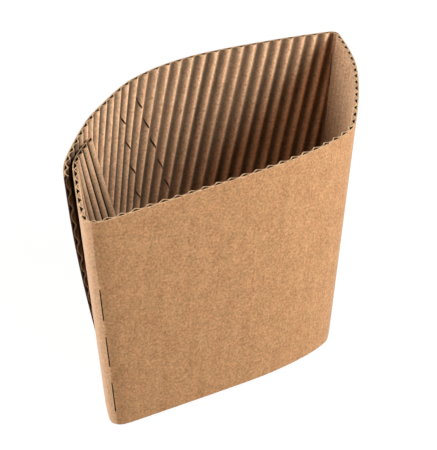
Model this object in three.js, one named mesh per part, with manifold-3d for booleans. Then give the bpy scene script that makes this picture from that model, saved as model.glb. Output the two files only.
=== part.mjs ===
import * as THREE from "three";
import { mergeVertices } from "three/addons/utils/BufferGeometryUtils.js";
import Module from "manifold-3d";

const wasm = await Module();
wasm.setup();

// A coffee cup sleeve: one strip of single-face corrugated board, creased twice, wrapped round and glued
// to itself, standing open on its bottom edge. Millimetres, +Z up, the photograph's side facing -Y.

// The board, from its smooth outer face inwards
const boardThickness = 1.25;
const linerThickness = 0.3;
const mediumThickness = 0.28;
const flutePitch = 3.35;
const glueWidth = 1; // of each flute's foot on the liner
const fluteNarrowness = 1.7; // 1 is a plain wave, and more widens the feet
const pressedNarrowness = 0.5; // of the flutes that the seam has pressed flat
const pressedWidth = [14, 24]; // across from the inner end: all pressed, and not at all

// The flat blank: a ring sector cut from the board, with all its flutes parallel
const coneReach = 368.6; // from the cone's apex to the top edge
const sleeveHeight = 59.2; // measured along the board
const fluteLeanDeg = 11.22; // of the flutes from the cone line at the front-left crease
const firstFlute = 0.5; // from the front-left crease to the middle of the first flute, at the top edge
const innerFlutes = 11; // whole flutes from the front-left crease back to the inner end
const innerEndTrim = 3; // of the inner end at both its corners
const innerEndTaper = 16; // across the flutes, over which the trim grows
const outerEndTop = 19.7; // what the outer end leaves bare of the side panel, at the top edge
const outerEndBottom = 29.5; // and at the bottom edge
const outerEndLift = 0.8; // off the side panel
const outerEndLiftLength = 14;

// The mouth, seen from above: the outer face of the top edge, from crease to crease. The points give its
// shape, and the span its size.
const mouthSpan = 108.5; // between the two creases
const frontLeftCrease = [-28.8, -31.6];
const backRightCrease = [27.9, 60.9];
const frontWall = [[-23.5, -30.2], [-3.3, -20.2], [14.6, -9.2], [27.6, 3.3], [30.9, 13.3], [31.8, 39.2]];
const backWall = [
  [10.3, 51.4], [-9.2, 40.8], [-21.2, 30.1], [-28, 18], [-32.1, 8], [-35.2, -8.7], [-31.4, -27.8],
];
const coneAxis = [-0.65, -5];
const creaseRadius = 1.5;

// The seam: the inner end lies against the flutes of the outer end
const seamClearance = 0.15;
const stepLength = 21; // of the side panel, over which the board steps inwards to the seam
const glueBeadWidth = 3;
const glueBeadInset = 5; // from the inner end's free edge to the middle of the bead
const glueSink = 0.15; // into the board at either side of the bead
const glueBeadMargin = 0.06; // of the flute's length, left free at either end of the bead

// Cuts through the board along each crease: all alike, apart from the widths at the outer and inner face
const creaseCut = { first: 5.3, length: 8.9, pitch: 13.7, count: 4 };
const closedCutWidths = [0.16, 0.08]; // of the front-left crease's uppermost cut, which has stayed shut
const leftCutWidths = [0.6, 0.16];
const rightCutWidths = [0.5, 0.08];

// Two slanted rows of short nicks across the flutes of the back wall, by their distance before the
// front-left crease at the top edge and how far they move on towards it on the way down
const nickLength = 3.4;
const nickWidth = 0.3;
const nickTurnDeg = 28; // from the cone line
const nickCount = 7; // in each row
const nearRowFromCrease = 57.7;
const nearRowSlantDeg = 10;
const nearRowFirst = 7.6; // from the top edge to the first nick's middle
const nearRowPitch = 7.2;
const farRowFromCrease = 64.3;
const farRowSlantDeg = 18;
const farRowFirst = 6.4;
const farRowPitch = 6.2;
const cutOvershoot = 0.2; // of the cutting blocks beyond the board's faces

// How finely the curves are drawn
const sampleStep = 0.6;
const creaseFacets = 2;
const heightSteps = 2;
const leaningFlutes = 95; // further across the blank than this, flutes lean enough to take a step more
const leastGap = 0.12;
const footPhase = glueWidth / flutePitch / 2;
const footEdges = [footPhase, 1 - footPhase];
const archPhases = [0.3, 0.43, 0.57, 0.7];
const topPhases = [0.15, 0.3, 0.43, 0.57, 0.7, 0.85];
const steepestFloor = 0.4; // slope at which the search for the floor ends
const searchSteps = 60;
const floorSteps = 3;

const creaseToCrease = new THREE.Vector2(...frontLeftCrease).sub(new THREE.Vector2(...backRightCrease));
const planScale = mouthSpan / creaseToCrease.length();
const apex = new THREE.Vector3(...coneAxis, 0).multiplyScalar(planScale);
const bottomReach = coneReach - sleeveHeight;
const fluteHeight = boardThickness - linerThickness - mediumThickness;

// The outline as plan points with a round bend at each crease
function wallPoints(from, through, to) {
  const drawn = [from, ...through, to].map((p) => new THREE.Vector2(...p).multiplyScalar(planScale));
  const curve = new THREE.SplineCurve(drawn);
  return curve.getSpacedPoints(Math.ceil(curve.getLength() / sampleStep));
}

function bendPoints(before, after) {
  const corner = after[0];
  const into = corner.clone().sub(before[before.length - 2]).normalize();
  const out = after[1].clone().sub(corner).normalize();
  const turn = Math.atan2(into.cross(out), into.dot(out));
  const trim = creaseRadius * Math.tan(turn / 2);
  const centre = corner.clone().addScaledVector(into, -trim);
  centre.add(new THREE.Vector2(-into.y, into.x).multiplyScalar(creaseRadius));
  const points = [];
  for (let i = 0; i <= creaseFacets; i++) {
    const spoke = new THREE.Vector2(into.y, -into.x).multiplyScalar(creaseRadius);
    points.push(spoke.rotateAround(new THREE.Vector2(), (turn * i) / creaseFacets).add(centre));
  }
  return { points, corner, trim };
}

const front = wallPoints(frontLeftCrease, frontWall, backRightCrease);
const back = wallPoints(backRightCrease, backWall, frontLeftCrease);
const rightBend = bendPoints(front, back);
const leftBend = bendPoints(back, front);
const clear = (points, bends) =>
  points.filter((p) => bends.every((b) => p.distanceTo(b.corner) > b.trim + leastGap));
const frontPlan = clear(front, [leftBend, rightBend]);
const backPlan = clear(back, [leftBend, rightBend]);

function withLengths(points) {
  let length = 0;
  return points.map((p, i) => {
    if (i) length += p.distanceTo(points[i - 1]);
    return { point: p, length };
  });
}

// How far the board has stepped inwards, by its distance behind the front-left crease
function stepInwards(distance) {
  const part = THREE.MathUtils.smoothstep(distance, 0, stepLength);
  return part * (boardThickness + seamClearance);
}

function inwardNormal(points, i) {
  const a = points[Math.max(i - 1, 0)];
  const b = points[Math.min(i + 1, points.length - 1)];
  return new THREE.Vector2(a.y - b.y, b.x - a.x).normalize();
}

const backLengths = withLengths([...backPlan, leftBend.points[0]]);
const backLength = backLengths[backLengths.length - 1].length;
const sidePlan = backLengths.slice(0, -1).map(({ point, length }, i) => {
  const inwards = inwardNormal(backPlan, i).multiplyScalar(stepInwards(backLength - length));
  return point.clone().add(inwards);
});
const sideLength = (innerFlutes + 1) * flutePitch + outerEndLiftLength;
const sideStart = backLengths.findIndex(({ length }) => backLength - length < sideLength);

// The strip along its top edge, inner end first: points on the cone with their angle on the flat blank
function onCone(plan) {
  const flat = new THREE.Vector3(plan.x, plan.y, 0).sub(apex);
  return flat.setZ(Math.sqrt(coneReach ** 2 - flat.x ** 2 - flat.y ** 2)).normalize();
}

const strip = [];
function addToStrip(points, name) {
  for (const plan of points) {
    const ray = onCone(plan);
    const last = strip[strip.length - 1];
    strip.push({ ray, angle: last ? last.angle + ray.angleTo(last.ray) : 0, name });
  }
}
addToStrip(sidePlan.slice(sideStart), "side");
addToStrip(leftBend.points, "leftCrease");
addToStrip(frontPlan, "front");
addToStrip(rightBend.points, "rightCrease");
addToStrip(backPlan, "back");

const creaseAngles = (name) => strip.filter((s) => s.name === name).map((s) => s.angle);
const middle = (angles) => (angles[0] + angles[angles.length - 1]) / 2;
const leftAngle = middle(creaseAngles("leftCrease"));
const creaseRay = onCone(leftBend.points[creaseFacets / 2]);
const wrapAngle = strip.at(-1).angle + strip.at(-1).ray.angleTo(creaseRay) - leftAngle;
strip.forEach((s, i) => {
  const a = strip[Math.max(i - 1, 0)];
  const b = strip[Math.min(i + 1, strip.length - 1)];
  s.inwards = new THREE.Vector3().crossVectors(s.ray, b.ray.clone().sub(a.ray)).normalize();
});

// Flat blank coordinates: across the flutes, and along them from the apex
const fluteAngle = leftAngle + THREE.MathUtils.degToRad(fluteLeanDeg);
const acrossAt = (angle, reach) => reach * Math.sin(angle - fluteAngle);
const alongAt = (across, reach) => Math.sqrt(reach ** 2 - across ** 2);
const fluteMiddle = acrossAt(leftAngle, coneReach) + firstFlute;
const innerEnd = fluteMiddle - (innerFlutes + 0.5) * flutePitch;
const outerTopAngle = leftAngle + wrapAngle - outerEndTop / coneReach;
const outerBottomAngle = leftAngle + wrapAngle - outerEndBottom / bottomReach;
const outerTop = [acrossAt(outerTopAngle, coneReach), coneReach * Math.cos(outerTopAngle - fluteAngle)];
const outerBottom = [
  acrossAt(outerBottomAngle, bottomReach),
  bottomReach * Math.cos(outerBottomAngle - fluteAngle),
];

const trimAt = (across) => innerEndTrim * Math.max(1 - (across - innerEnd) / innerEndTaper, 0);
const highestAt = (across) => alongAt(across, coneReach) - trimAt(across);

function lowestAt(across) {
  if (across <= outerBottom[0]) return alongAt(across, bottomReach) + trimAt(across);
  const part = Math.min((across - outerBottom[0]) / (outerTop[0] - outerBottom[0]), 1);
  return THREE.MathUtils.lerp(outerBottom[1], outerTop[1], part);
}

// How far the outer end stands off, by how much of the board is left beyond a place on it
function liftAt(angle, reach) {
  const end = THREE.MathUtils.mapLinear(reach, bottomReach, coneReach, outerBottomAngle, outerTopAngle);
  return outerEndLift * (1 - THREE.MathUtils.smoothstep((end - angle) * reach, 0, outerEndLiftLength));
}

function stripAt(angle) {
  let i = strip.findIndex((s) => s.angle > angle);
  i = i < 1 ? (i === 0 ? 1 : strip.length - 1) : i;
  const part = (angle - strip[i - 1].angle) / (strip[i].angle - strip[i - 1].angle);
  return {
    ray: strip[i - 1].ray.clone().lerp(strip[i].ray, part),
    inwards: strip[i - 1].inwards.clone().lerp(strip[i].inwards, part).normalize(),
  };
}

// The place of a point of the board, given on the flat blank, with its depth from the outer face
function placeByAngle(angle, reach, depth) {
  const { ray, inwards } = stripAt(angle);
  return ray.multiplyScalar(reach).addScaledVector(inwards, depth - liftAt(angle, reach));
}

function placeByFlute(across, part, depth) {
  const along = THREE.MathUtils.lerp(lowestAt(across), highestAt(across), part);
  return placeByAngle(fluteAngle + Math.atan2(across, along), Math.hypot(across, along), depth);
}

// The points of one line along a flute, as parts of its length, in three zones: below a crease's bend,
// across the bend and above it. Elsewhere the zones away from the crease are empty.
function zonesAt(across) {
  const low = lowestAt(across);
  const span = Math.max(highestAt(across) - low, 1e-9);
  const bend = creaseAngles(across < acrossAt(fluteAngle, coneReach) ? "leftCrease" : "rightCrease")
    .map((angle) => THREE.MathUtils.clamp((across / Math.tan(angle - fluteAngle) - low) / span, 0, 1))
    .sort((p, q) => p - q);
  const steps = Math.abs(across) > leaningFlutes ? heightSteps + 1 : heightSteps;
  const run = (from, to) => {
    const count = Math.max(Math.ceil((to - from) * steps - 0.01), 1);
    return Array.from({ length: count + 1 }, (_, i) => THREE.MathUtils.lerp(from, to, i / count));
  };
  return [run(0, bend[0]), bend, run(bend.at(-1), 1)];
}

// The board's section as four lines across the flutes: outer face, liner's inner face, and the two faces
// of the fluted medium. A foot is where the medium is glued to the liner.
function wave(across) {
  const pressed = 1 - THREE.MathUtils.smoothstep(across - innerEnd, ...pressedWidth);
  const narrowness = THREE.MathUtils.lerp(fluteNarrowness, pressedNarrowness, pressed);
  return fluteHeight * ((1 - Math.cos(2 * Math.PI * phaseOf(across))) / 2) ** narrowness;
}
const phaseOf = (across) => {
  const phase = (across - innerEnd) / flutePitch;
  return phase - Math.floor(phase + 1e-9);
};
const inFootEdge = (across) => Math.abs(Math.min(phaseOf(across), 1 - phaseOf(across)) - footPhase) < 1e-6;
const inFoot = (across) => Math.min(phaseOf(across), 1 - phaseOf(across)) <= footPhase + 1e-6;
const archDepth = (across) => linerThickness + (inFoot(across) ? 0 : wave(across));
const topDepth = (across) => linerThickness + mediumThickness + wave(across);

// Each line has its own points in every flute, and all have one where a bend or the outer end starts or stops
const creaseEnds = [...creaseAngles("leftCrease"), ...creaseAngles("rightCrease")].flatMap((angle) => [
  acrossAt(angle, coneReach),
  acrossAt(angle, bottomReach),
]);
const sharedPoints = [innerEnd, innerEnd + innerEndTaper, ...creaseEnds, outerBottom[0], outerTop[0]];

function sectionLine(phases) {
  const points = [];
  for (let foot = innerEnd; foot < outerTop[0]; foot += flutePitch) {
    points.push(...phases.map((phase) => foot + phase * flutePitch));
  }
  const apart = (x) => sharedPoints.every((shared) => Math.abs(x - shared) > leastGap);
  const between = points.filter((x) => x > innerEnd && x < outerTop[0] && (inFootEdge(x) || apart(x)));
  return [...between, ...sharedPoints].sort((p, q) => p - q);
}

function geometryOf(positions) {
  const attribute = new THREE.Float32BufferAttribute(positions, 3);
  return new THREE.BufferGeometry().setAttribute("position", attribute);
}

function boardGeometry() {
  const positions = [];
  const put = (a, b, c) => positions.push(...a.toArray(), ...b.toArray(), ...c.toArray());
  const column = (across, depth) =>
    zonesAt(across).map((zone) => zone.map((part) => placeByFlute(across, part, depth)));
  const sheet = (line, depth) => line.map((across) => ({ across, zones: column(across, depth(across)) }));
  const outer = sheet(sectionLine([0]), () => 0);
  const liner = sheet(sectionLine(footEdges), () => linerThickness);
  const arch = sheet(sectionLine([...footEdges, ...archPhases]), archDepth);
  const top = sheet(sectionLine(topPhases), topDepth);

  // A face between two runs of points, which need not have as many of them
  const face = (a, b, outwards) => {
    for (let i = 0, j = 0; i + j < a.length + b.length - 2; ) {
      const alongA = j === b.length - 1 || (i < a.length - 1 && (i + 1) / a.length <= (j + 1) / b.length);
      const corner = alongA ? a[i + 1] : b[j + 1];
      if (outwards) put(a[i], b[j], corner);
      else put(a[i], corner, b[j]);
      if (alongA) i++;
      else j++;
    }
  };
  const between = (a, b, outwards) => a.zones.forEach((zone, k) => face(zone, b.zones[k], outwards));
  const skin = (columns, outwards, glued) => {
    for (let i = 0; i + 1 < columns.length; i++) {
      const [a, b] = [columns[i], columns[i + 1]];
      if (!glued || !inFoot((a.across + b.across) / 2)) between(a, b, outwards);
    }
  };
  skin(outer, true, false);
  skin(liner, false, true);
  skin(arch, true, true);
  skin(top, false, false);

  // The cut edges at the top and bottom of the board, between two of its lines
  const edge = (columnsA, columnsB) => {
    for (const level of [0, -1]) {
      const point = (c) => c.zones.at(level).at(level);
      for (let i = 0, j = 0; i + j < columnsA.length + columnsB.length - 2; ) {
        const last = j === columnsB.length - 1;
        const alongA = last || (i < columnsA.length - 1 && columnsA[i + 1].across < columnsB[j + 1].across);
        const corner = point(alongA ? columnsA[i + 1] : columnsB[j + 1]);
        if (level) put(point(columnsA[i]), corner, point(columnsB[j]));
        else put(point(columnsA[i]), point(columnsB[j]), corner);
        if (alongA) i++;
        else j++;
      }
    }
  };
  edge(outer, liner);
  edge(arch, top);
  between(liner[0], outer[0], true);
  between(top[0], arch[0], true);
  return geometryOf(positions);
}

// A closed block set on the board at a place of the blank: its corners lie across and through the board
// at both ends of a run that is turned from the cone line there
function blockGeometry({ angle, reach, length, turn, widths, depths }) {
  const { ray, inwards } = stripAt(angle);
  const run = ray.clone().applyAxisAngle(inwards, turn);
  const across = new THREE.Vector3().crossVectors(run, inwards);
  const middle = ray.clone().multiplyScalar(reach);
  const ring = [[-1, 0], [1, 0], [1, 1], [-1, 1]];
  const corners = [-0.5, 0.5].flatMap((end) =>
    ring.map(([side, face]) =>
      middle.clone().addScaledVector(run, end * length).addScaledVector(across, (side * widths[face]) / 2)
        .addScaledVector(inwards, depths[face])));
  const sides = [[0, 1, 2, 3], [7, 6, 5, 4], [4, 5, 1, 0], [5, 6, 2, 1], [6, 7, 3, 2], [7, 4, 0, 3]];
  const triangles = sides.flatMap(([a, b, c, d]) => [a, b, c, a, c, d]);
  const positions = triangles.flatMap((i) => corners[i].toArray());
  return geometryOf(positions);
}

// A glue bead: a ribbon along the inner end's flutes, from inside its liner to inside the crests behind it
function beadGeometry() {
  const across = [-0.5, 0.5].map((side) => innerEnd + glueBeadInset + side * glueBeadWidth);
  const rings = [];
  for (let i = 0; i <= 2 * heightSteps; i++) {
    const part = THREE.MathUtils.lerp(glueBeadMargin, 1 - glueBeadMargin, i / (2 * heightSteps));
    const depths = [-seamClearance - glueSink, glueSink];
    const [a, b] = across.map((x) => depths.map((depth) => placeByFlute(x, part, depth)));
    rings.push([a[0], b[0], b[1], a[1]]);
  }
  const triangles = [];
  const quad = (a, b, c, d) => triangles.push(a, b, c, a, c, d);
  quad(...rings[0].toReversed());
  quad(...rings.at(-1));
  for (let i = 1; i < rings.length; i++) {
    for (let k = 0; k < 4; k++) {
      const next = (k + 1) % 4;
      quad(rings[i - 1][k], rings[i - 1][next], rings[i][next], rings[i][k]);
    }
  }
  const positions = triangles.flatMap((p) => p.toArray());
  return geometryOf(positions);
}

function solidOf(geometry) {
  const merged = mergeVertices(geometry, 1e-5);
  const index = merged.index.array;
  const triVerts = [];
  for (let i = 0; i < index.length; i += 3) {
    const [a, b, c] = index.slice(i, i + 3);
    if (a !== b && b !== c && c !== a) triVerts.push(a, b, c);
  }
  const vertProperties = merged.attributes.position.array;
  const mesh = new wasm.Mesh({ numProp: 3, vertProperties, triVerts: new Uint32Array(triVerts) });
  return new wasm.Manifold(mesh);
}

function creaseCuts(angle, firstWidths, otherWidths) {
  const cuts = [];
  for (let i = 0; i < creaseCut.count; i++) {
    const reach = coneReach - creaseCut.first - i * creaseCut.pitch - creaseCut.length / 2;
    const widths = i ? otherWidths : firstWidths;
    const depths = [-creaseRadius, boardThickness + cutOvershoot];
    cuts.push({ angle, reach, length: creaseCut.length, turn: 0, widths, depths });
  }
  return cuts;
}

// The nicks go through the medium and leave the liner whole
function nickCuts(rowFromCrease, slantDeg, first, pitch) {
  const cuts = [];
  for (let i = 0; i < nickCount; i++) {
    const below = first + i * pitch;
    const fromCrease = rowFromCrease + below * Math.tan(THREE.MathUtils.degToRad(slantDeg));
    const angle = leftAngle + wrapAngle - fromCrease / coneReach;
    const turn = THREE.MathUtils.degToRad(nickTurnDeg);
    const widths = [nickWidth, nickWidth];
    const depths = [linerThickness, boardThickness + cutOvershoot];
    cuts.push({ angle, reach: coneReach - below, length: nickLength, turn, widths, depths });
  }
  return cuts;
}

const cuts = [
  ...creaseCuts(leftAngle, closedCutWidths, leftCutWidths),
  ...creaseCuts(middle(creaseAngles("rightCrease")), rightCutWidths, rightCutWidths),
  ...nickCuts(nearRowFromCrease, nearRowSlantDeg, nearRowFirst, nearRowPitch),
  ...nickCuts(farRowFromCrease, farRowSlantDeg, farRowFirst, farRowPitch),
];
let board = solidOf(boardGeometry()).add(solidOf(beadGeometry()));
for (const cut of cuts) board = board.subtract(solidOf(blockGeometry(cut)));

// Standing: of all planes below the sleeve, the floor is the highest one under its mass centre
function massCentre(points, index) {
  const centre = new THREE.Vector3();
  let volume = 0;
  for (let i = 0; i < index.length; i += 3) {
    const [a, b, c] = [points[index[i]], points[index[i + 1]], points[index[i + 2]]];
    const part = new THREE.Vector3().crossVectors(b, c).dot(a);
    centre.add(new THREE.Vector3().add(a).add(b).add(c).multiplyScalar(part / 4));
    volume += part;
  }
  return centre.divideScalar(volume);
}

function highest(value, from, to) {
  for (let i = 0; i < searchSteps; i++) {
    const [a, b] = [(2 * from + to) / 3, (from + 2 * to) / 3];
    if (value(a) < value(b)) from = a;
    else to = b;
  }
  return (from + to) / 2;
}

function floorNormal(points, centre) {
  const above = (p, slopeX, slopeY) => p.z - slopeX * (p.x - centre.x) - slopeY * (p.y - centre.y);
  const under = (slopeX, slopeY) =>
    points.reduce((low, p) => Math.min(low, above(p, slopeX, slopeY)), Infinity);
  const slopeYFor = (slopeX) => highest((slopeY) => under(slopeX, slopeY), -steepestFloor, steepestFloor);
  const slopeX = highest((slope) => under(slope, slopeYFor(slope)), -steepestFloor, steepestFloor);
  return new THREE.Vector3(-slopeX, -slopeYFor(slopeX), 1).normalize();
}

function stand(solid) {
  const { vertProperties, triVerts } = solid.getMesh();
  const points = [];
  for (let i = 0; i < vertProperties.length; i += 3) {
    points.push(new THREE.Vector3().fromArray(vertProperties, i));
  }
  const centre = massCentre(points, triVerts);
  const up = new THREE.Vector3(0, 0, 1);
  for (let i = 0; i < floorSteps; i++) {
    const low = points.filter((p) => p.z < centre.z);
    const step = new THREE.Quaternion().setFromUnitVectors(floorNormal(low, centre), up);
    for (const p of [...points, centre]) p.applyQuaternion(step);
  }
  const box = new THREE.Box3().setFromPoints(points);
  const middleOfBox = box.getCenter(new THREE.Vector3()).setZ(box.min.z);
  const geometry = new THREE.BufferGeometry().setFromPoints(points);
  geometry.setIndex([...triVerts]);
  geometry.translate(...middleOfBox.negate().toArray());
  return geometry;
}

const kraft = new THREE.MeshStandardMaterial({ color: "#bd9b74", roughness: 0.9, metalness: 0 });
const sleeve = new THREE.Mesh(stand(board), kraft);
sleeve.name = "sleeve";
const part = new THREE.Group();
part.add(sleeve);
export default part;
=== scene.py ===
import math

import bpy
import numpy as np
from mathutils import Matrix, Quaternion, Vector


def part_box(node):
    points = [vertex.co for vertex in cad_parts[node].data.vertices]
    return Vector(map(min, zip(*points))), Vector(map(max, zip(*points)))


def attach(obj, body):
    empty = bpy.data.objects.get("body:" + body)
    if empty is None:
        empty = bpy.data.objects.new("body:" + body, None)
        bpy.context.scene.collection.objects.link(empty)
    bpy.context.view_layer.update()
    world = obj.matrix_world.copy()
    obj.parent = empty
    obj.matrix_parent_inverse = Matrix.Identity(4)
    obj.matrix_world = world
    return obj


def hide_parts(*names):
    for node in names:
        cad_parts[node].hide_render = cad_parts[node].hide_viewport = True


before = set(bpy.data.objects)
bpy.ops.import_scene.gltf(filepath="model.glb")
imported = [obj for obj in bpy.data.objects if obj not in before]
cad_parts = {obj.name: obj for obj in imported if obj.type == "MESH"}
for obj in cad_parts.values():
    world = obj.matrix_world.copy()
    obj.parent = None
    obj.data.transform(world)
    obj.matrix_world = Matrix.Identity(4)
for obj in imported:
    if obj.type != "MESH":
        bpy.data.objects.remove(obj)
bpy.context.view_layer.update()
cadLow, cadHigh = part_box("sleeve")
print("frame loaded")

# Sizes are in millimetres until a mesh is made. A point of the board is given on the flat blank: across
# the flutes and along them, both from the tip of the cone that the blank is cut from.
mm = 0.001

board = {
    "thickness": 1.25,
    "liner": 0.3,
    "medium": 0.28,
    "footSink": 0.01,  # of the flutes' feet into the liner
    "pitch": 3.35,  # of the flutes
    "glueWidth": 0.7,  # of a flute's foot on the liner
    "crush": 0.45,  # part of a flute's height that a crease takes away
    "crushReach": 1.8,
    "washboard": 0.015,  # how far the liner sinks between two feet
    "narrowness": 1.7,  # of the flutes: 1 is a plain wave, and more widens the feet
    "pressedNarrowness": 0.5,  # of those that the seam has pressed flat
    "pressedWidth": (14, 24),  # from the inner end: all pressed, and not at all
}
board["fluteHeight"] = board["thickness"] - board["liner"] - board["medium"]

blank = {
    "reach": 368.6,  # from the tip to the top edge
    "height": 59.2,
    "fluteLean": math.radians(11.22),
    "firstFlute": 0.5,
    "innerFlutes": 11,
    "innerEndTrim": 3,  # at both corners of the inner end
    "innerEndTaper": 16,
    "outerEndTop": 19.7,
    "outerEndBottom": 29.5,
    "outerEndLift": 0.8,  # off the side panel
    "outerEndLiftLength": 14,
    "columnGap": 0.05,  # least distance of a column of points from the outer end
    "tipInset": 0.02,  # keeps the outer end's last column from closing to a point
}
blank["bottomReach"] = blank["reach"] - blank["height"]

mouth = {
    "span": 108.5,  # from crease to crease: the points below are scaled to it
    "frontLeftCrease": (-28.8, -31.6),
    "backRightCrease": (27.9, 60.9),
    "frontWall": ((-23.5, -30.2), (-3.3, -20.2), (14.6, -9.2), (27.6, 3.3), (30.9, 13.3), (31.8, 39.2)),
    "backWall": (
        (10.3, 51.4),
        (-9.2, 40.8),
        (-21.2, 30.1),
        (-28, 18),
        (-32.1, 8),
        (-35.2, -8.7),
        (-31.4, -27.8),
    ),
    "coneAxis": (-0.65, -5),
    "creaseRadius": 1.5,
    "bendFacets": 12,
    "step": 0.25,
}
mouth["scale"] = mouth["span"] / math.dist(mouth["frontLeftCrease"], mouth["backRightCrease"])

seam = {
    "clearance": 0.15,
    "stepLength": 21,
    "beadWidth": 3,
    "beadInset": 5,
    "beadSink": 0.1,
    "beadRun": (0.06, 0.94),  # parts of the height between which the bead runs
    "beadPoints": 40,
}
standing = {"lean": math.radians(4.935), "axisTurn": math.radians(-91.512)}
creaseCut = {
    "first": 5.3,
    "length": 8.9,
    "pitch": 13.7,
    "count": 4,
    "closed": (0.05, 0.02),  # widths at the outer and inner face of the front-left crease's first cut
    "left": (0.6, 0.03),
    "right": (0.5, 0.03),
    "overshoot": 0.2,  # past the flutes
}
nick = {
    "rows": ((57.7, 10, 7.6, 7.2), (64.3, 18, 6.4, 6.2)),  # from the crease, slant, first one and pitch
    "length": 3.3,
    "turn": math.radians(21),
    "width": 0.36,
    "count": 7,
    "aboveLiner": 0.02,
    "overshoot": 0.5,
}


# Points at even steps along the curve through the given ones, whose ends are used twice.
def catmullRom(points):
    p = np.array([points[0], *points, points[-1]], float) * mouth["scale"]
    t = np.linspace(0, 1, 400, endpoint=False)[:, None]
    curve = []
    for a, b, c, d in zip(p, p[1:], p[2:], p[3:]):
        rise = (c - a) / 2
        fall = (d - b) / 2
        squared = 3 * (c - b) - 2 * rise - fall
        cubed = 2 * (b - c) + rise + fall
        curve.append(b + rise * t + squared * t**2 + cubed * t**3)
    curve = np.vstack([*curve, p[-1:]])
    length = np.r_[0, np.cumsum(np.linalg.norm(np.diff(curve, axis=0), axis=1))]
    even = np.linspace(0, length[-1], math.ceil(length[-1] / mouth["step"]) + 1)
    return np.stack([np.interp(even, length, curve[:, k]) for k in (0, 1)], axis=1)


# The round bend where one wall's points end and the next one's start: its points and what it trims.
def bendAt(before, after):
    corner = after[0]
    into = (corner - before[-2]) / np.linalg.norm(corner - before[-2])
    out = (after[1] - corner) / np.linalg.norm(after[1] - corner)
    turn = math.atan2(into[0] * out[1] - into[1] * out[0], into @ out)
    radius = mouth["creaseRadius"]
    trim = radius * math.tan(turn / 2)
    centre = corner - trim * into + radius * np.array([-into[1], into[0]])
    steps = np.linspace(0, turn, mouth["bendFacets"] + 1) + math.atan2(-into[0], into[1])
    return centre + radius * np.stack([np.cos(steps), np.sin(steps)], axis=1), corner, trim


# The points that are farther from each bend's corner than the length that the bend trims
def clearOf(points, bends):
    far = [np.linalg.norm(points - corner, axis=1) > trim + mouth["step"] / 2 for _, corner, trim in bends]
    return points[np.all(far, axis=0)]


# Unit vectors to the left of a line of plan points, which is the sleeve's inside.
def inwardOf(points):
    along = np.gradient(points, axis=0)
    left = np.stack([-along[:, 1], along[:, 0]], axis=1)
    return left / np.linalg.norm(left, axis=1)[:, None]


# From 0 at low to 1 at high, as three squares less two cubes of the part of the way
def smoothStep(x, low, high):
    t = np.clip((x - low) / (high - low), 0, 1)
    return t * t * (3 - 2 * t)


# The strip along its top edge, inner end first: the angle on the flat blank of each point, the ray to it
# from the cone's tip, and the direction into the board there.
def makeStrip():
    front = catmullRom((mouth["frontLeftCrease"], *mouth["frontWall"], mouth["backRightCrease"]))
    back = catmullRom((mouth["backRightCrease"], *mouth["backWall"], mouth["frontLeftCrease"]))
    bends = [bendAt(back, front), bendAt(front, back)]
    frontPlan = clearOf(front, bends)
    backPlan = clearOf(back, bends)
    toCrease = np.vstack([backPlan, bends[0][0][:1]])
    length = np.r_[0, np.cumsum(np.linalg.norm(np.diff(toCrease, axis=0), axis=1))]
    left = length[-1] - length[:-1]
    sunk = (board["thickness"] + seam["clearance"]) * smoothStep(left, 0, seam["stepLength"])
    sideLength = (blank["innerFlutes"] + 1) * board["pitch"] + blank["outerEndLiftLength"]
    side = (backPlan + sunk[:, None] * inwardOf(backPlan))[left < sideLength]
    plan = np.vstack([side, bends[0][0], frontPlan, bends[1][0], backPlan])
    plan -= np.array(mouth["coneAxis"]) * mouth["scale"]
    ray = np.column_stack([plan, np.sqrt(blank["reach"] ** 2 - (plan**2).sum(1))]) / blank["reach"]
    stepAngle = 2 * np.arcsin(np.linalg.norm(np.diff(ray, axis=0), axis=1) / 2)
    angle = np.r_[0, np.cumsum(stepAngle)]
    inward = np.cross(ray, np.gradient(ray, axis=0))
    inward /= np.linalg.norm(inward, axis=1)[:, None]
    leftBend = len(side) + len(bends[0][0]) // 2
    rightBend = len(plan) - len(backPlan) - len(bends[1][0]) // 2 - 1
    return {
        "angle": angle,
        "ray": ray,
        "inward": inward,
        "left": angle[leftBend],
        "right": angle[rightBend],
        "end": angle[-1] + np.linalg.norm(ray[leftBend] - ray[-1]),
    }


strip = makeStrip()
fluteAngle = strip["left"] + blank["fluteLean"]
wrapAngle = strip["end"] - strip["left"]


# The place across the flutes: the reach times the sine of the angle from the flutes' own direction
def acrossAt(angle, reach):
    return reach * np.sin(angle - fluteAngle)


# The ray and the direction into the board at an angle on the blank, between the strip's points
def stripAt(angle):
    ray = np.stack([np.interp(angle, strip["angle"], strip["ray"][:, k]) for k in range(3)], axis=-1)
    inward = np.stack([np.interp(angle, strip["angle"], strip["inward"][:, k]) for k in range(3)], axis=-1)
    return ray, inward / np.linalg.norm(inward, axis=-1, keepdims=True)


# Where a point of the flat blank lies on the sleeve, that deep behind its outer face: the ray times the
# reach, and along the inward direction the depth less the outer end's lift
def placeOnBoard(across, along, depth):
    angle = fluteAngle + np.arctan2(across, along)
    reach = np.hypot(across, along)
    ray, inward = stripAt(angle)
    return ray * reach[..., None] + inward * (depth - liftAt(angle, reach))[..., None]


# How far the outer end stands off: all of its lift at the end, falling smoothly to none over a length
def liftAt(angle, reach):
    part = (reach - blank["bottomReach"]) / blank["height"]
    end = outerAngles[0] + part * (outerAngles[1] - outerAngles[0])
    return blank["outerEndLift"] * (1 - smoothStep((end - angle) * reach, 0, blank["outerEndLiftLength"]))


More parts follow.
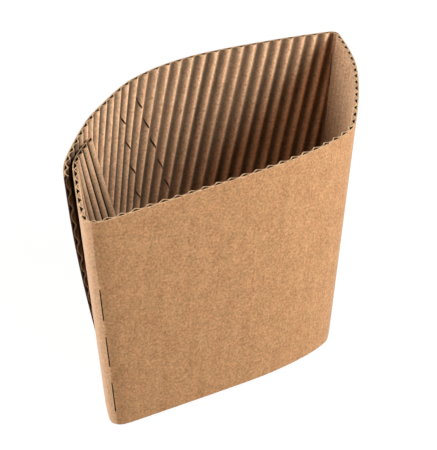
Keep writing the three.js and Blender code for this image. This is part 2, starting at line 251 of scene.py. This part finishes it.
innerEnd = acrossAt(strip["left"], blank["reach"]) + blank["firstFlute"]
innerEnd -= (blank["innerFlutes"] + 0.5) * board["pitch"]
outerAngles = (
    strip["left"] + wrapAngle - blank["outerEndBottom"] / blank["bottomReach"],
    strip["left"] + wrapAngle - blank["outerEndTop"] / blank["reach"],
)
outerEnd = [
    (acrossAt(angle, reach), reach * math.cos(angle - fluteAngle))
    for angle, reach in zip(outerAngles, (blank["bottomReach"], blank["reach"]))
]


# How much is cut off the inner end's corners, falling in a straight line with the distance from the end
def trimAt(across):
    return blank["innerEndTrim"] * np.clip(1 - (across - innerEnd) / blank["innerEndTaper"], 0, 1)


# How far along a flute the board starts: at the bottom edge, where the squares of the two sides make that
# of the reach, or on the straight line of the slanted outer end
def lowestAt(across):
    (lowAcross, lowAlong), (highAcross, highAlong) = outerEnd
    part = np.clip((across - lowAcross) / (highAcross - lowAcross), 0, 1)
    bottom = np.sqrt(blank["bottomReach"] ** 2 - np.minimum(across, lowAcross) ** 2) + trimAt(across)
    return np.where(across <= lowAcross, bottom, lowAlong + part * (highAlong - lowAlong))


# How far along a flute the board ends: at the top edge, by the same rule of squares
def highestAt(across):
    return np.sqrt(blank["reach"] ** 2 - across**2) - trimAt(across)


# Columns along the flutes and rows across them, over the whole blank.
def blankGrid(perFlute, rows):
    flutes = (outerEnd[1][0] - innerEnd) / board["pitch"]
    across = innerEnd + np.arange(0, flutes, 1 / perFlute) * board["pitch"]
    inside = across < outerEnd[1][0] - blank["columnGap"]
    across = np.sort(np.r_[across[inside], outerEnd[0][0], outerEnd[1][0] - blank["tipInset"]])
    low = lowestAt(across)
    high = highestAt(across)
    part = np.linspace(0, 1, rows + 1)
    along = low[:, None] + part * (high - low)[:, None]
    return np.repeat(across[:, None], rows + 1, axis=1), along


# From the cone's own axes to the floor: the turn in which the sleeve rests on its bottom edge.
def standUp(points):
    axis = (math.cos(standing["axisTurn"]), math.sin(standing["axisTurn"]), 0)
    turn = np.array(Quaternion(axis, standing["lean"]).to_matrix())
    return points @ turn.T


# A closed sheet between two depths of the board. Its UV map holds the place on the flat blank, in metres.
# Its material slots are the outer face, the inner face, the cut edges and the slanted outer end, of which
# the last starts at the first column past the end's lower corner
def closedSheet(name, across, along, outerDepth, innerDepth):
    outer = standUp(placeOnBoard(across, along, outerDepth))
    inner = standUp(placeOnBoard(across, along, innerDepth))
    columns, rows = across.shape
    index = np.arange(columns * rows).reshape(columns, rows)
    a, b, c, d = index[:-1, :-1], index[1:, :-1], index[1:, 1:], index[:-1, 1:]
    face = np.stack([a, b, c, d], axis=-1).reshape(-1, 4)
    behind = columns * rows
    backFace = face[:, ::-1] + behind

    def edge(line):
        return np.stack([line[1:], line[:-1], line[:-1] + behind, line[1:] + behind], axis=1)

    edges = np.vstack([edge(index[:, 0]), edge(index[::-1, -1]), edge(index[0, ::-1]), edge(index[-1])])
    faces = np.vstack([face, backFace, edges])
    points = np.vstack([outer.reshape(-1, 3), inner.reshape(-1, 3)])
    mesh = bpy.data.meshes.new(name)
    mesh.from_pydata((points * mm).tolist(), [], faces.tolist())
    corner = np.empty(len(mesh.loops), int)
    mesh.loops.foreach_get("vertex_index", corner)
    place = np.tile(np.stack([across, along], axis=-1).reshape(-1, 2), (2, 1)) * mm
    mesh.uv_layers.new(name="blank").data.foreach_set("uv", place[corner].ravel())
    slots = np.repeat([0, 1, 2], [len(face), len(backFace), len(edges)])
    lowEdge = slots[2 * len(face) :][: columns - 1]
    lowEdge[across[1:, 0] > outerEnd[0][0] + blank["tipInset"] / 2] = 3
    mesh.polygons.foreach_set("material_index", slots)
    return mesh


# Wedges set through the board, one for each (angle, reach, length, turn, widths, depths): a box about its
# place, whose width changes from the outer depth to the inner one
def cutterMesh(cuts):
    points = []
    faces = []
    for angle, reach, length, turn, widths, depths in cuts:
        ray, inward = (Vector(v) for v in stripAt(np.array(angle)))
        run = Quaternion(inward, turn) @ ray
        across = run.cross(inward)
        ring = [(side * widths[face], depths[face]) for side, face in ((-1, 0), (1, 0), (1, 1), (-1, 1))]
        first = len(points)
        for end in (-0.5, 0.5):
            for width, depth in ring:
                points.append(ray * reach + run * end * length + across * width / 2 + inward * depth)
        for side in ((0, 1, 2, 3), (7, 6, 5, 4), (4, 5, 1, 0), (5, 6, 2, 1), (6, 7, 3, 2), (7, 4, 0, 3)):
            faces.append([first + k for k in side])
    mesh = bpy.data.meshes.new("cutter")
    mesh.from_pydata((standUp(np.array(points)) * mm).tolist(), [], faces)
    for _ in range(4):
        mesh.materials.append(None)
    mesh.polygons.foreach_set("material_index", [3] * len(faces))  # cut faces get the dark slot, whose colour is painted shade
    return mesh


# Cuts along a crease, one pitch after the other down from the top edge
def creaseCuts(angle, firstWidths, otherWidths):
    depths = (-mouth["creaseRadius"], board["thickness"] + creaseCut["overshoot"])
    for i in range(creaseCut["count"]):
        reach = blank["reach"] - creaseCut["first"] - i * creaseCut["pitch"] - creaseCut["length"] / 2
        widths = otherWidths if i else firstWidths
        yield angle, reach, creaseCut["length"], 0, widths, depths


# A slanted row of nicks: each lies farther from the crease by its depth times the slant's tangent
def nickCuts(fromCrease, slant, first, pitch):
    depths = (board["liner"] + nick["aboveLiner"], board["thickness"] + nick["overshoot"])
    for i in range(nick["count"]):
        depth = first + i * pitch
        away = fromCrease + depth * math.tan(math.radians(slant))
        angle = strip["left"] + wrapAngle - away / blank["reach"]
        yield angle, blank["reach"] - depth, nick["length"], nick["turn"], (nick["width"],) * 2, depths


# A piece with its cuts taken out and smooth faces.
def makePiece(name, mesh, materials, cuts=()):
    piece = bpy.data.objects.new(name, mesh)
    bpy.context.collection.objects.link(piece)
    for material in materials:
        mesh.materials.append(material)
    if cuts:
        cutter = bpy.data.objects.new("cutter", cutterMesh(cuts))
        bpy.context.collection.objects.link(cutter)
        modifier = piece.modifiers.new("cuts", "BOOLEAN")
        modifier.object = cutter
        modifier.operation = "DIFFERENCE"
        modifier.solver = "MANIFOLD"
        shaped = piece.evaluated_get(bpy.context.evaluated_depsgraph_get())
        piece.data = bpy.data.meshes.new_from_object(shaped)
        piece.modifiers.clear()
        bpy.data.objects.remove(cutter)
    piece.data.shade_smooth()
    piece.data.set_sharp_from_angle(angle=math.radians(40))
    return piece


# The flutes, from 0 at their feet to 1: a raised cosine to a power, which is lower where they are pressed
def wave(across):
    phase = (across - innerEnd) / board["pitch"]
    pressed = 1 - smoothStep(across - innerEnd, *board["pressedWidth"])
    narrowness = board["narrowness"] + pressed * (board["pressedNarrowness"] - board["narrowness"])
    return ((1 - np.cos(2 * math.pi * phase)) / 2) ** narrowness


# The flutes' height, less a bell curve of the distance from the nearer crease, where they are crushed
def fluteHeightAt(across, along):
    angle = fluteAngle + np.arctan2(across, along)
    away = np.minimum(abs(angle - strip["left"]), abs(angle - strip["right"])) * np.hypot(across, along)
    return board["fluteHeight"] * (1 - board["crush"] * np.exp(-((away / board["crushReach"]) ** 2)))


# The liner's two faces: the outer one sinks a little between the flutes' feet, and the inner one is flat
def linerDepths(across, along):
    sunk = board["washboard"] * wave(across)
    return sunk, np.full_like(sunk, board["liner"])


# The medium's two faces, lifted by the wave. Its feet are sunk into the liner a little.
def mediumDepths(across, along):
    lift = wave(across) * fluteHeightAt(across, along)
    return board["liner"] - board["footSink"] + lift, board["liner"] + board["medium"] + lift


def link(tree, source, output, target, socket):
    tree.links.new(source.outputs[output], target.inputs[socket])


# Kraft paper over one colour. The tone inputs are those of the shared group: the flutes' painted shade
# makes their feet darker and their crests lighter, the side panel's painted light makes it paler, and
# the seam's painted shade makes the board darker inside the seam.
def kraftPaper(name, colour, roughness=0.85, specular=0.12, **toneInputs):
    material = bpy.data.materials.new(name)
    material.use_nodes = True
    tree = material.node_tree
    shader = tree.nodes["Principled BSDF"]
    place = tree.nodes.new("ShaderNodeUVMap")
    place.uv_map = "blank"
    group = tree.nodes.new("ShaderNodeGroup")
    group.node_tree = paperGroup()
    group.inputs["Colour"].default_value = (*colour, 1)
    for tone, amount in toneInputs.items():
        group.inputs[tone].default_value = amount
    link(tree, place, "UV", group, "Place")
    link(tree, group, "Colour", shader, "Base Color")
    bump = tree.nodes.new("ShaderNodeBump")
    bump.inputs["Strength"].default_value = paper["bump"]
    bump.inputs["Distance"].default_value = paper["bumpHeight"] * mm
    link(tree, group, "Height", bump, "Height")
    link(tree, bump, "Normal", shader, "Normal")
    shader.inputs["Roughness"].default_value = roughness
    shader.inputs["Specular IOR Level"].default_value = specular
    return material


paper = {
    "cloudScale": 190,  # of the noise, per metre
    "clouds": 0.3,
    "patchScale": 420,
    "patches": 0.34,
    "streakScale": 420,
    "streaks": 0.2,  # along the flutes
    "hueScale": 260,
    "hue": 0.14,  # how far patches turn to red or yellow
    "pulpScale": 1700,
    "pulp": 1.25,
    "lightFibreScale": 900,
    "lightFibres": 0.13,
    "darkFibreScale": 750,
    "darkFibres": -0.17,
    "fibreWidth": 0.04,
    "noiseRoughness": 0.6,
    "bump": 0.35,
    "bumpHeight": 0.05,
    "channelGain": (0.92, 1.06, 1.22),  # dark places are redder
    "channelHue": (0.15, -1.0, -0.8),
    # painted light on the side panel, per channel
    "channelSide": (0.45, 0.72, 1.25),
    "sideToneEdge": 0.3,  # over which the side panel's painted light stops at the crease
    "seamShadeEnds": (0.02, 0.011),  # from the outer end: none, and all
    # Painted shade at the flutes' feet and painted highlight on their crests
    "crest": {"power": 1.5, "middle": 0.42, "strength": 1.15},  # of free flutes
    "pressedCrest": {"power": 0.18, "middle": 0.86, "strength": 2.2},
    "openWall": 0.12,  # part of the flutes' painted shade left on the wall that faces the light
    # painted light added on that wall
    "openWallPaintedLight": 0.24,
    "openWallStart": (-0.16, -0.1),  # angles from the right crease: none, and all
    "openWallStop": (0.006, -0.002),
    # Noise that breaks up the flutes' painted shade
    "shadeBreakupScale": 130,
    "shadeBreakup": (0.6, 0.8),  # least part of the flutes' painted shade, and what the noise adds
}


# The shared paper: clouds, patches of hue, pulp and fibres, painted shade and highlight that follow the
# flutes, painted light on the side panel and painted shade in the seam
def paperGroup():
    if "paper" in bpy.data.node_groups:
        return bpy.data.node_groups["paper"]
    tree = bpy.data.node_groups.new("paper", "ShaderNodeTree")
    face = tree.interface
    face.new_socket("Place", in_out="INPUT", socket_type="NodeSocketVector")
    face.new_socket("Colour", in_out="INPUT", socket_type="NodeSocketColor")
    for name in ("crestTone", "sideTone", "seamShade"):
        face.new_socket(name, in_out="INPUT", socket_type="NodeSocketFloat")
    face.new_socket("Colour", in_out="OUTPUT", socket_type="NodeSocketColor")
    face.new_socket("Height", in_out="OUTPUT", socket_type="NodeSocketFloat")
    given = tree.nodes.new("NodeGroupInput")
    made = tree.nodes.new("NodeGroupOutput")

    def noise(scale, stretch=(1, 1, 1), detail=2, turn=0.0):
        mapping = tree.nodes.new("ShaderNodeMapping")
        mapping.inputs["Scale"].default_value = stretch
        mapping.inputs["Rotation"].default_value = (0, 0, turn)
        link(tree, given, "Place", mapping, "Vector")
        texture = tree.nodes.new("ShaderNodeTexNoise")
        texture.inputs["Scale"].default_value = scale
        texture.inputs["Detail"].default_value = detail
        texture.inputs["Roughness"].default_value = paper["noiseRoughness"]
        link(tree, mapping, "Vector", texture, "Vector")
        return texture.outputs["Fac"]

    def calculate(operation, *values):
        node = tree.nodes.new("ShaderNodeMath")
        node.operation = operation
        for socket, value in zip(node.inputs, values):
            if isinstance(value, (int, float)):
                socket.default_value = value
            else:
                tree.links.new(value, socket)
        return node.outputs[0]

    def centred(value, amount):
        return calculate("MULTIPLY", calculate("SUBTRACT", value, 0.5), amount)

    # From 0 to 1 between two values, with soft ends
    def ramp(value, ends):
        node = tree.nodes.new("ShaderNodeMapRange")
        node.interpolation_type = "SMOOTHSTEP"
        tree.links.new(value, node.inputs["Value"])
        node.inputs["From Min"].default_value = ends[0]
        node.inputs["From Max"].default_value = ends[1]
        return node.outputs["Result"]

    # Each channel gets its own part of a value, on top of what is there already
    def addChannels(value, parts, to):
        node = tree.nodes.new("ShaderNodeVectorMath")
        node.operation = "MULTIPLY_ADD"
        tree.links.new(value, node.inputs[0])
        node.inputs[1].default_value = parts
        if isinstance(to, tuple):
            node.inputs[2].default_value = to
        else:
            tree.links.new(to, node.inputs[2])
        return node.outputs[0]

    # Thin curling lines, where a noise is near its middle value
    def curls(scale, turn, amount):
        middle = noise(scale, (1, 0.6, 1), 1, turn)
        away = calculate("ABSOLUTE", calculate("SUBTRACT", middle, 0.5))
        near = calculate("SUBTRACT", 1, calculate("DIVIDE", away, paper["fibreWidth"]))
        return calculate("MULTIPLY", calculate("MAXIMUM", near, 0), amount)

    clouds = centred(noise(paper["cloudScale"]), paper["clouds"])
    patches = centred(noise(paper["patchScale"]), paper["patches"])
    streaks = centred(noise(paper["streakScale"], (1, 0.1, 1)), paper["streaks"])
    pulp = centred(noise(paper["pulpScale"]), paper["pulp"])
    lightFibres = curls(paper["lightFibreScale"], 0.7, paper["lightFibres"])
    darkFibres = curls(paper["darkFibreScale"], -0.4, paper["darkFibres"])
    fibres = calculate("ADD", lightFibres, darkFibres)
    grain = calculate("ADD", pulp, fibres)

    # The flutes' painted shade and highlight: a raised cosine over each flute, 0 at its feet, to a power
    # that sets the crest's
    #     width, which paints the feet darker and the crests lighter. It changes where the flutes are
    #     pressed, and fades on the wall that faces the light.
    split = tree.nodes.new("ShaderNodeSeparateXYZ")
    link(tree, given, "Place", split, "Vector")
    fromEnd = calculate("SUBTRACT", split.outputs["X"], innerEnd * mm)
    phase = calculate("MULTIPLY", fromEnd, 2 * math.pi / board["pitch"] / mm)
    risen = calculate("MULTIPLY", calculate("SUBTRACT", 1, calculate("COSINE", phase)), 0.5)
    pressedFrom, pressedTo = board["pressedWidth"]
    pressed = ramp(fromEnd, (pressedTo * mm, pressedFrom * mm))

    def byPressing(name):
        free = paper["crest"][name]
        return calculate("MULTIPLY_ADD", pressed, paper["pressedCrest"][name] - free, free)

    above = calculate("SUBTRACT", calculate("POWER", risen, byPressing("power")), byPressing("middle"))
    angle = calculate("ARCTAN2", split.outputs["X"], split.outputs["Y"])
    creaseAngle = strip["right"] - fluteAngle
    fromCrease = calculate("SUBTRACT", angle, creaseAngle)
    wallStart = ramp(fromCrease, paper["openWallStart"])
    wallStop = ramp(fromCrease, paper["openWallStop"])
    openWall = calculate("MULTIPLY", wallStart, wallStop)
    fading = calculate("MULTIPLY_ADD", openWall, paper["openWall"] - 1, 1)
    # Noise breaks up the flutes' painted shade
    leastBreakup, moreBreakup = paper["shadeBreakup"]
    shadeBreakup = calculate("MULTIPLY_ADD", noise(paper["shadeBreakupScale"], (1, 0.3, 1)), moreBreakup, leastBreakup)
    strength = calculate("MULTIPLY", byPressing("strength"), fading)
    crests = calculate("MULTIPLY", above, calculate("MULTIPLY", strength, shadeBreakup))
    # Painted light makes the wall that faces the light lighter
    tones = calculate("MULTIPLY_ADD", openWall, paper["openWallPaintedLight"], crests)
    tone = calculate("MULTIPLY", tones, given.outputs["crestTone"])

    # Painted shade darkens the board inside the seam, by the distance from its slanted outer end
    (lowAcross, lowAlong), (highAcross, highAlong) = outerEnd
    slant = math.atan2(highAlong - lowAlong, highAcross - lowAcross)
    sideways = calculate("SUBTRACT", split.outputs["X"], lowAcross * mm)
    upwards = calculate("SUBTRACT", split.outputs["Y"], lowAlong * mm)
    sideways = calculate("MULTIPLY", sideways, math.sin(slant))
    upwards = calculate("MULTIPLY", upwards, math.cos(slant))
    inSeam = ramp(calculate("SUBTRACT", upwards, sideways), paper["seamShadeEnds"])
    shade = calculate("SUBTRACT", 1, calculate("MULTIPLY", inSeam, given.outputs["seamShade"]))

    # Painted light pales the side panel, stopping sharply at the left crease
    leftCreaseAngle = strip["left"] - fluteAngle
    halfBend = paper["sideToneEdge"] / 2 / blank["reach"]
    onSide = ramp(angle, (leftCreaseAngle + halfBend, leftCreaseAngle - halfBend))
    paler = calculate("MULTIPLY", onSide, given.outputs["sideTone"])

    mottle = calculate("ADD", calculate("ADD", clouds, patches), calculate("ADD", streaks, grain))
    hue = centred(noise(paper["hueScale"], detail=1), paper["hue"])
    gain = addChannels(paler, paper["channelSide"], (1, 1, 1))
    gain = addChannels(mottle, paper["channelGain"], gain)
    gain = addChannels(hue, paper["channelHue"], gain)
    tint = tree.nodes.new("ShaderNodeVectorMath")
    tint.operation = "MULTIPLY"
    link(tree, given, "Colour", tint, 0)
    tree.links.new(gain, tint.inputs[1])
    shaded = tree.nodes.new("ShaderNodeVectorMath")
    shaded.operation = "SCALE"
    link(tree, tint, "Vector", shaded, 0)
    tree.links.new(calculate("MULTIPLY", calculate("ADD", tone, 1), shade), shaded.inputs["Scale"])
    link(tree, shaded, "Vector", made, "Colour")
    tree.links.new(calculate("ADD", grain, pulp), made.inputs["Height"])
    return tree


# linerOutside gets a trace of the flutes' painted shade and painted light on the side panel; mediumInside
# gets strong painted flute shade and painted shade in the seam
linerOutside = kraftPaper("linerOutside", (0.655, 0.342, 0.157), 0.5, 0.2, crestTone=0.03, sideTone=0.6)
# Painted shade: the liner's inner face and the medium's outer face, seen only in the flutes' channels, are
# dark for the shade in there
linerInsidePaintedShade = kraftPaper("linerInsidePaintedShade", (0.16, 0.09, 0.05))
mediumOutsidePaintedShade = kraftPaper("mediumOutsidePaintedShade", (0.16, 0.09, 0.05))
mediumInside = kraftPaper("mediumInside", (0.53, 0.337, 0.202), crestTone=1.4, seamShade=0.8)
cutEdge = kraftPaper("cutEdge", (0.86, 0.55, 0.31))
# Painted shade: the slanted outer end and the faces of the cuts are dark for the shade that falls on them
linerCutEndPaintedShade = kraftPaper("linerCutEndPaintedShade", (0.13, 0.085, 0.055))
mediumCutEndPaintedShade = kraftPaper("mediumCutEndPaintedShade", (0.24, 0.17, 0.115))
glue = kraftPaper("glue", (0.45, 0.3, 0.17), 0.4)

allCuts = [
    *creaseCuts(strip["left"], creaseCut["closed"], creaseCut["left"]),
    *creaseCuts(strip["right"], creaseCut["right"], creaseCut["right"]),
    *(cut for row in nick["rows"] for cut in nickCuts(*row)),
]

across, along = blankGrid(perFlute=6, rows=40)
liner = makePiece(
    "liner",
    closedSheet("liner", across, along, *linerDepths(across, along)),
    (linerOutside, linerInsidePaintedShade, cutEdge, linerCutEndPaintedShade),
    allCuts,
)
print("liner made", len(liner.data.polygons))

across, along = blankGrid(perFlute=14, rows=36)
medium = makePiece(
    "flutedMedium",
    closedSheet("flutedMedium", across, along, *mediumDepths(across, along)),
    (mediumOutsidePaintedShade, mediumInside, cutEdge, mediumCutEndPaintedShade),
    allCuts,
)
print("fluted medium made", len(medium.data.polygons))


# The seam's glue, from inside the inner end's liner to inside the crests that press on it.
def makeBead():
    side = np.array([-0.5, 0.5]) * seam["beadWidth"] + innerEnd + seam["beadInset"]
    low = lowestAt(side)
    high = highestAt(side)
    part = np.linspace(*seam["beadRun"], seam["beadPoints"])
    along = low[:, None] + part * (high - low)[:, None]
    across = np.repeat(side[:, None], seam["beadPoints"], axis=1)
    outside = np.full(across.shape, -seam["clearance"] - seam["beadSink"])
    return closedSheet("glueBead", across, along, outside, np.full(across.shape, seam["beadSink"]))


bead = makePiece("glueBead", makeBead(), (glue, glue, glue, glue))

# The standing board is shifted so that its box shares its middle and its floor with the frame's
pieces = (liner, medium, bead)
corners = np.vstack([np.array([v.co for v in piece.data.vertices]) for piece in (liner, medium)])
low = corners.min(0)
high = corners.max(0)
shift = Vector(((low[0] + high[0]) / 2, (low[1] + high[1]) / 2, low[2])) - Vector(
    ((cadLow[0] + cadHigh[0]) / 2, (cadLow[1] + cadHigh[1]) / 2, cadLow[2])
)
for piece in pieces:
    piece.data.transform(Matrix.Translation(-shift))
    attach(piece, "root")
    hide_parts("sleeve")
print("board size", (high - low) / mm, "frame", [(b - a) / mm for a, b in zip(cadLow, cadHigh)])

# The camera, placed from the photograph in the cone's own axes and then stood up with the board
camera = {
    "elevation": 0.5996,
    "distance": 645.5,
    "target": (0.65, 5.0, 366.44 - 25),  # from the cone's tip
    "focal": 2784.0,  # in pixels of an image 437 wide
    "centre": (222.9, 237.5),
    "roll": 0.003,
    "image": (437, 450),
}


# A camera that looks along its own forward direction from that far before its target
def makeCamera():
    elevation = camera["elevation"]
    roll = camera["roll"]
    forward = np.array([0, math.cos(elevation), -math.sin(elevation)])
    level = np.array([1.0, 0, 0])
    up = np.array([0, math.sin(elevation), math.cos(elevation)])
    right = level * math.cos(roll) + up * math.sin(roll)
    up = up * math.cos(roll) - level * math.sin(roll)
    place = np.array(camera["target"]) - camera["distance"] * forward
    place, right, up, forward = (standUp(v) for v in (place, right, up, forward))
    turn = Matrix([right, up, -forward]).transposed().to_4x4()
    lens = bpy.data.cameras.new("camera")
    width, height = camera["image"]
    lens.sensor_fit = "HORIZONTAL"
    lens.sensor_width = 36
    lens.lens = camera["focal"] / width * 36
    lens.shift_x = (width / 2 - camera["centre"][0]) / width
    lens.shift_y = (camera["centre"][1] - height / 2) / width
    lens.clip_start = 0.01
    lens.clip_end = 20
    eye = bpy.data.objects.new("camera", lens)
    eye.matrix_world = Matrix.Translation(Vector(place * mm) - shift) @ turn
    bpy.context.collection.objects.link(eye)
    bpy.context.scene.camera = eye


makeCamera()


floorCard = {
    "half": 3,  # metres
    "white": 0.8,
    "dark": 0.06,
    "glow": 1.1,
    "glowShare": 0.86,
}


# Nearly white by itself to the camera and in reflections, with a share of white card that takes the
# shadow, and dark card to the light that it would throw back at the sleeve
def makeFloor():
    mesh = bpy.data.meshes.new("floor")
    half = floorCard["half"]
    corners = [(-half, -half, 0), (half, -half, 0), (half, half, 0), (-half, half, 0)]
    mesh.from_pydata(corners, [], [(0, 1, 2, 3)])
    floor = bpy.data.objects.new("floor", mesh)
    bpy.context.collection.objects.link(floor)
    material = bpy.data.materials.new("floor")
    material.use_nodes = True
    tree = material.node_tree
    darkCard = tree.nodes["Principled BSDF"]
    darkCard.inputs["Base Color"].default_value = (*[floorCard["dark"]] * 3, 1)
    darkCard.inputs["Roughness"].default_value = 0.9
    whiteCard = tree.nodes.new("ShaderNodeBsdfDiffuse")
    whiteCard.inputs["Color"].default_value = (*[floorCard["white"]] * 3, 1)
    glow = tree.nodes.new("ShaderNodeEmission")
    glow.inputs["Strength"].default_value = floorCard["glow"]
    pale = tree.nodes.new("ShaderNodeMixShader")
    pale.inputs[0].default_value = floorCard["glowShare"]
    tree.links.new(whiteCard.outputs[0], pale.inputs[1])
    tree.links.new(glow.outputs[0], pale.inputs[2])
    path = tree.nodes.new("ShaderNodeLightPath")
    mirrored = tree.nodes.new("ShaderNodeMath")
    mirrored.operation = "MAXIMUM"
    link(tree, path, "Is Glossy Ray", mirrored, 0)
    link(tree, path, "Is Transmission Ray", mirrored, 1)
    seen = tree.nodes.new("ShaderNodeMath")
    seen.operation = "MAXIMUM"
    link(tree, path, "Is Camera Ray", seen, 0)
    tree.links.new(mirrored.outputs[0], seen.inputs[1])
    mix = tree.nodes.new("ShaderNodeMixShader")
    tree.links.new(seen.outputs[0], mix.inputs[0])
    tree.links.new(darkCard.outputs[0], mix.inputs[1])
    tree.links.new(pale.outputs[0], mix.inputs[2])
    tree.links.new(mix.outputs[0], tree.nodes["Material Output"].inputs["Surface"])
    mesh.materials.append(material)
    return floor


makeFloor()


studio = {
    "distance": 0.36,  # of each soft box from the sleeve's middle, in metres
    "middle": (0, 0, 0.03),
    "size": 0.2,
    "left": (-75, 17, 1.14),  # azimuth from the front and height angle in degrees, and watts
    "right": (90, 34, 1.04),
    "front": (35, 20, 0.6),
    "world": 0.08,
}


# A square lamp that faces the sleeve's middle from a place on a ball round it
def softBox(name, azimuth, height, power):
    turn = math.radians(azimuth)
    rise = math.radians(height)
    away = Vector((math.sin(turn) * math.cos(rise), -math.cos(turn) * math.cos(rise), math.sin(rise)))
    light = bpy.data.lights.new(name, "AREA")
    light.shape = "SQUARE"
    light.size = studio["size"]
    light.energy = power
    lamp = bpy.data.objects.new(name, light)
    lamp.location = Vector(studio["middle"]) + away * studio["distance"]
    lamp.rotation_euler = (-away).to_track_quat("-Z", "Y").to_euler()
    bpy.context.collection.objects.link(lamp)


for side in ("left", "right", "front"):
    softBox(side + "Light", *studio[side])

scene = bpy.context.scene
world = bpy.data.worlds.new("studio")
scene.world = world
world.use_nodes = True
world.node_tree.nodes["Background"].inputs["Color"].default_value = (1, 1, 1, 1)
world.node_tree.nodes["Background"].inputs["Strength"].default_value = studio["world"]
scene.view_settings.view_transform = "Standard"
print("stage set")
